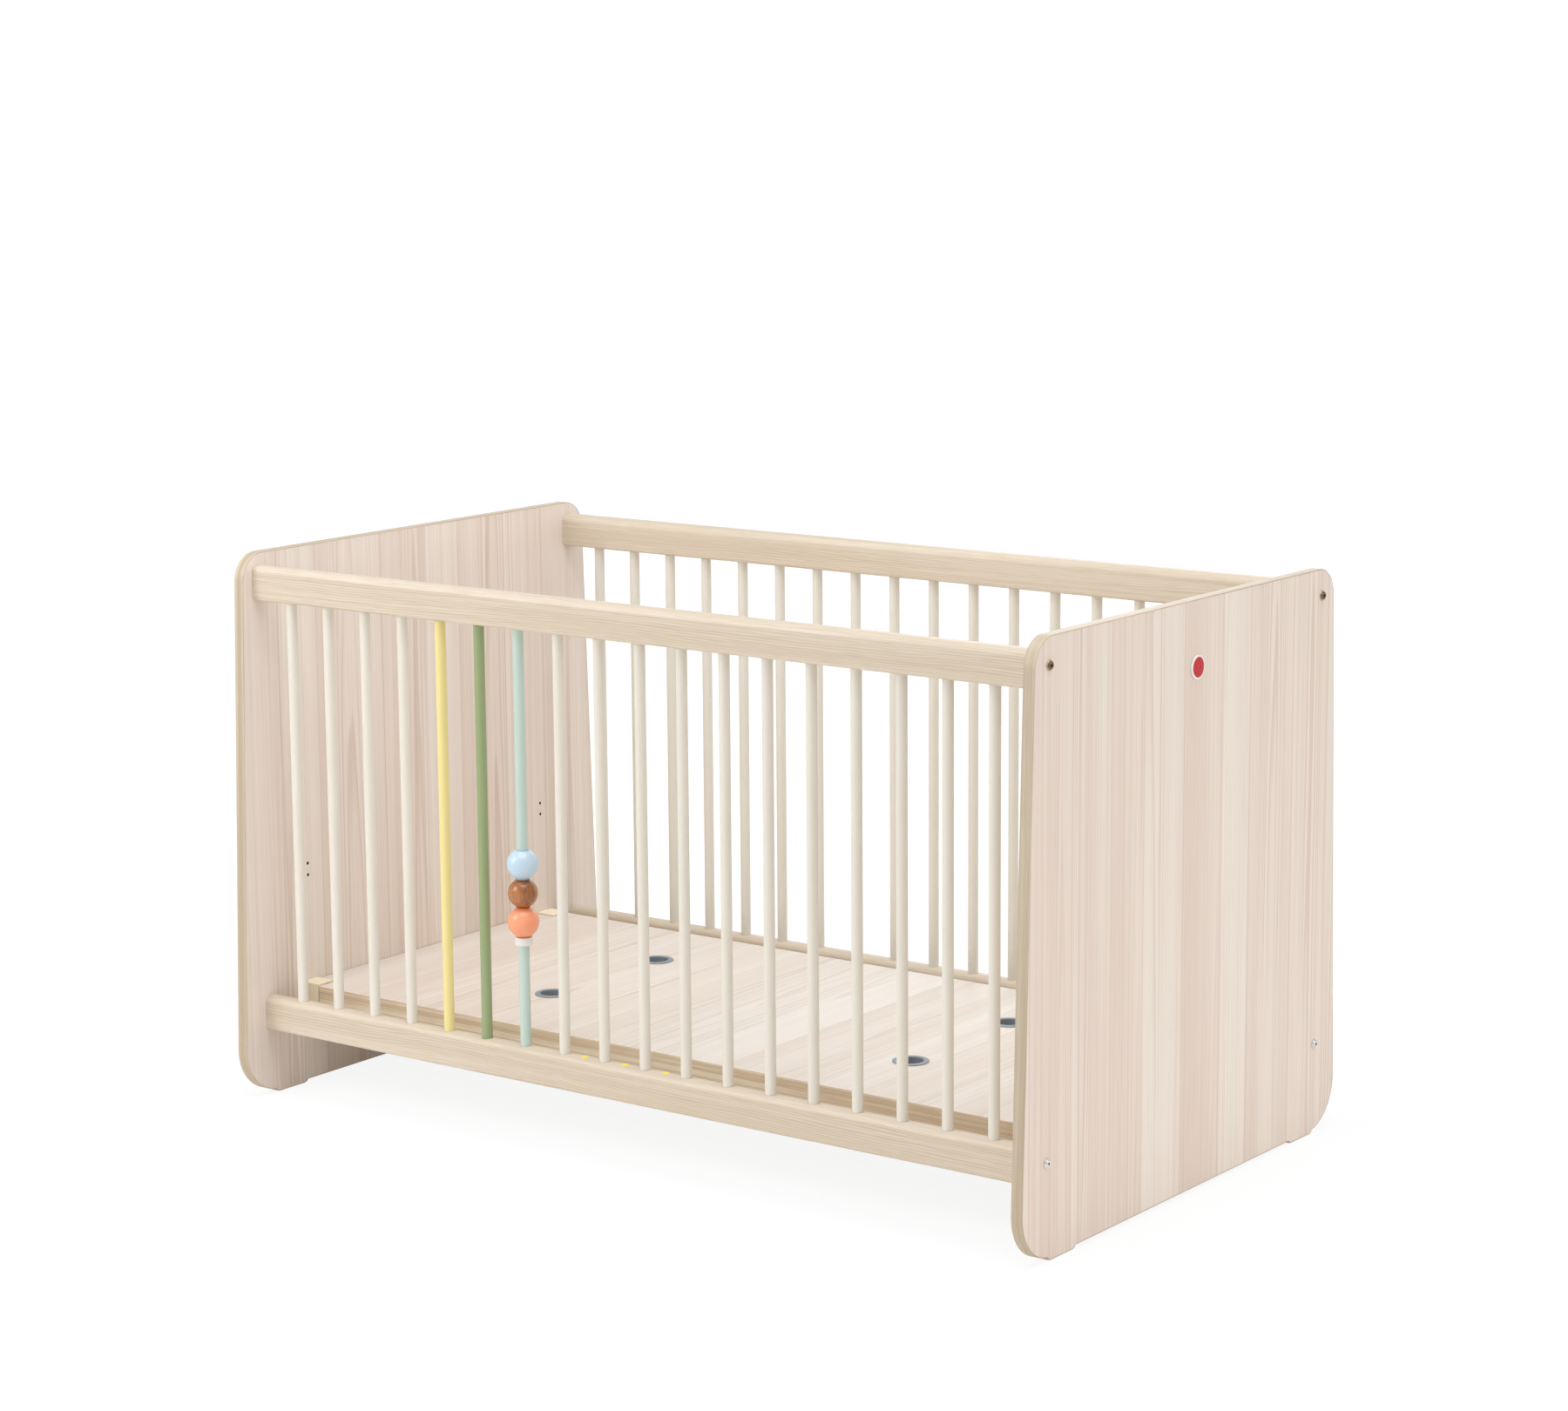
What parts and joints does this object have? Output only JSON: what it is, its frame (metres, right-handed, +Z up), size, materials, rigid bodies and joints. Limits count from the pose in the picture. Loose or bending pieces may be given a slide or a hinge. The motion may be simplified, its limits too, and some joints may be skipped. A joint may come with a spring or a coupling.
{
  "type": "playpen",
  "caption": "Barred child's cot with solid end panels, round side bars, sliding play beads on one bar and a base board that fixes at either of two heights.",
  "frame": {"origin": "on the floor, in the middle of the cot's footprint", "axes": "+Z up, X along the cot's length with the badge on the +X end panel, the side with the coloured bars and the play beads faces -Y"},
  "size_m": [1.4435, 0.852, 0.8465],
  "materials": {
    "panel_laminate": "satin printed wood grain",
    "rail_foil": "satin printed wood grain",
    "white_paint": "satin cream-white paint",
    "yellow_paint": "satin paint",
    "green_paint": "satin paint",
    "aqua_paint": "satin paint",
    "white_plastic": "satin",
    "coral_lacquer": "gloss lacquer",
    "walnut_lacquer": "gloss lacquer over brown stain",
    "blue_lacquer": "gloss lacquer",
    "board_laminate": "satin printed wood grain",
    "beige_plastic": "matt",
    "bolt_steel": "nickel plated",
    "badge_plastic": "gloss",
    "vent_plastic": "satin",
    "plug_plastic": "gloss"
  },
  "bodies": {
    "root": {"right_end_panel": "panel_laminate", "left_end_panel": "panel_laminate", "back_top_rail": "rail_foil", "front_top_rail": "rail_foil", "back_lower_rail": "rail_foil", "front_lower_rail": "rail_foil", "front_bar_01": "white_paint", "front_bar_02": "white_paint", "front_bar_03": "white_paint", "front_bar_04": "white_paint", "front_bar_08": "white_paint", "front_bar_09": "white_paint", "front_bar_10": "white_paint", "front_bar_11": "white_paint", "front_bar_12": "white_paint", "front_bar_13": "white_paint", "front_bar_14": "white_paint", "front_bar_15": "white_paint", "front_bar_16": "white_paint", "front_bar_17": "white_paint", "front_bar_18": "white_paint", "back_bar_01": "white_paint", "back_bar_02": "white_paint", "back_bar_03": "white_paint", "back_bar_04": "white_paint", "back_bar_05": "white_paint", "back_bar_06": "white_paint", "back_bar_07": "white_paint", "back_bar_08": "white_paint", "back_bar_09": "white_paint", "back_bar_10": "white_paint", "back_bar_11": "white_paint", "back_bar_12": "white_paint", "back_bar_13": "white_paint", "back_bar_14": "white_paint", "back_bar_15": "white_paint", "back_bar_16": "white_paint", "back_bar_17": "white_paint", "back_bar_18": "white_paint", "front_bar_05": "yellow_paint", "front_bar_06": "green_paint", "front_bar_07": "aqua_paint", "bead_collar": "white_plastic", "front_left_lower_bolt": "bolt_steel", "front_left_upper_bolt": "bolt_steel", "back_left_lower_bolt": "bolt_steel", "back_left_upper_bolt": "bolt_steel", "front_right_lower_bolt": "bolt_steel", "front_right_upper_bolt": "bolt_steel", "back_right_lower_bolt": "bolt_steel", "back_right_upper_bolt": "bolt_steel", "round_badge": "badge_plastic"},
    "base": {"base_board": "board_laminate", "front_left_bracket": "beige_plastic", "back_left_bracket": "beige_plastic", "front_right_bracket": "beige_plastic", "back_right_bracket": "beige_plastic"},
    "coral_bead": {"coral_bead": "coral_lacquer"},
    "walnut_bead": {"walnut_bead": "walnut_lacquer"},
    "blue_bead": {"blue_bead": "blue_lacquer"}
  },
  "joints": [
    {"name": "base_height", "type": "slide", "parent": "root", "child": "base", "axis": [0, 0, 1], "range_m": [0, 0.19]},
    {"name": "coral_bead_slide", "type": "slide", "parent": "root", "child": "coral_bead", "axis": [0, 0, 1], "range_m": [0, 0.11]},
    {"name": "walnut_bead_slide", "type": "slide", "parent": "coral_bead", "child": "walnut_bead", "axis": [0, 0, 1], "range_m": [0, 0.11]},
    {"name": "blue_bead_slide", "type": "slide", "parent": "walnut_bead", "child": "blue_bead", "axis": [0, 0, 1], "range_m": [0, 0.104]}
  ]
}
